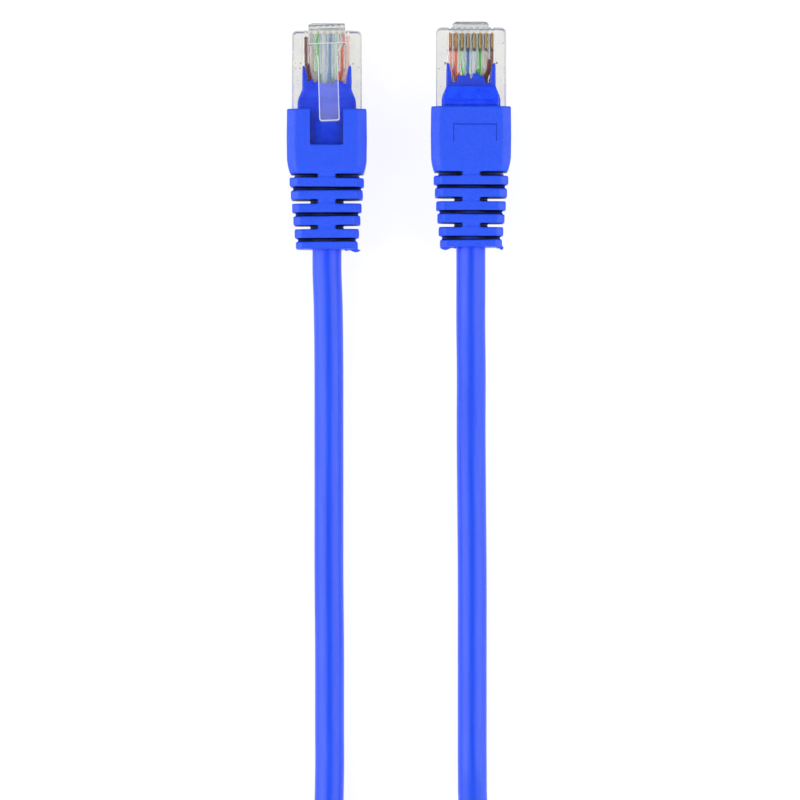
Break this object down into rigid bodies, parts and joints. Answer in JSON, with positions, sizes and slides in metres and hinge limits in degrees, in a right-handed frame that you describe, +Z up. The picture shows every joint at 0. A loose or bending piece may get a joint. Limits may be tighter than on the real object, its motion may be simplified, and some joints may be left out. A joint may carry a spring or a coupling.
{
  "type": "ethernet patch cable",
  "caption": "Blue round network patch cord with clear modular plugs side by side, ribbed moulded boots and hinged latches, the spare cord tied in a hank.",
  "frame": {"origin": "on the surface that the cable lies on, under the middle of the two plugs with their boots", "axes": "+Y the way both plugs point into a jack, +X from plug a, which lies latch up, to plug b, which lies latch down, +Z up; the cord and its hank run off along -Y"},
  "size_m": [0.0466, 0.2246, 0.0119],
  "materials": {
    "clear_plastic": "clear glossy polycarbonate",
    "clear_latch": "clear glossy polycarbonate, moulded with the housing",
    "contact_gold": "gold-plated stamped blade",
    "copper": "bare stranded copper",
    "mould_plastic": "saturated blue pre-mould, seen wet against the clear housing",
    "boot_plastic": "soft blue vinyl with a fine matt grain",
    "cord_jacket": "smooth satin blue vinyl",
    "tie_fabric": "black hook-and-loop strap",
    "wire_white_orange": "white insulation with an orange stripe",
    "wire_orange": "orange insulation",
    "wire_white_green": "white insulation with a green stripe",
    "wire_blue": "blue insulation",
    "wire_white_blue": "white insulation with a blue stripe",
    "wire_green": "green insulation",
    "wire_white_brown": "white insulation with a brown stripe",
    "wire_brown": "brown insulation"
  },
  "bodies": {
    "cable": {"plug_housing_a": "clear_plastic", "plug_housing_b": "clear_plastic", "contact_a1": "contact_gold", "contact_a2": "contact_gold", "contact_a3": "contact_gold", "contact_a4": "contact_gold", "contact_a5": "contact_gold", "contact_a6": "contact_gold", "contact_a7": "contact_gold", "contact_a8": "contact_gold", "contact_b1": "contact_gold", "contact_b2": "contact_gold", "contact_b3": "contact_gold", "contact_b4": "contact_gold", "contact_b5": "contact_gold", "contact_b6": "contact_gold", "contact_b7": "contact_gold", "contact_b8": "contact_gold", "wire_a1": "wire_white_orange", "wire_a2": "wire_orange", "wire_a3": "wire_white_green", "wire_a4": "wire_blue", "wire_a5": "wire_white_blue", "wire_a6": "wire_green", "wire_a7": "wire_white_brown", "wire_a8": "wire_brown", "wire_b1": "wire_white_orange", "wire_b2": "wire_orange", "wire_b3": "wire_white_green", "wire_b4": "wire_blue", "wire_b5": "wire_white_blue", "wire_b6": "wire_green", "wire_b7": "wire_white_brown", "wire_b8": "wire_brown", "wire_cores_a": "copper", "wire_cores_b": "copper", "inner_mould_a": "mould_plastic", "inner_mould_b": "mould_plastic", "jacket_end_a": "cord_jacket", "jacket_end_b": "cord_jacket", "boot_a": "boot_plastic", "boot_b": "boot_plastic", "cord_a": "cord_jacket", "cord_b": "cord_jacket", "hank": "cord_jacket", "tie_left": "tie_fabric", "tie_right": "tie_fabric"},
    "latch_a": {"latch_a": "clear_latch"},
    "latch_b": {"latch_b": "clear_latch"}
  },
  "joints": [
    {"name": "latch_a_press", "type": "hinge", "parent": "cable", "child": "latch_a", "pos_m": [-0.0121, 0.01815, 0.0075], "axis": [1, 0, 0], "range_deg": [0, 9], "stiffness_Nm_per_rad": 0.3},
    {"name": "latch_b_press", "type": "hinge", "parent": "cable", "child": "latch_b", "pos_m": [0.0121, 0.01845, 0.00435], "axis": [-1, 0, 0], "range_deg": [0, 9], "stiffness_Nm_per_rad": 0.3}
  ]
}
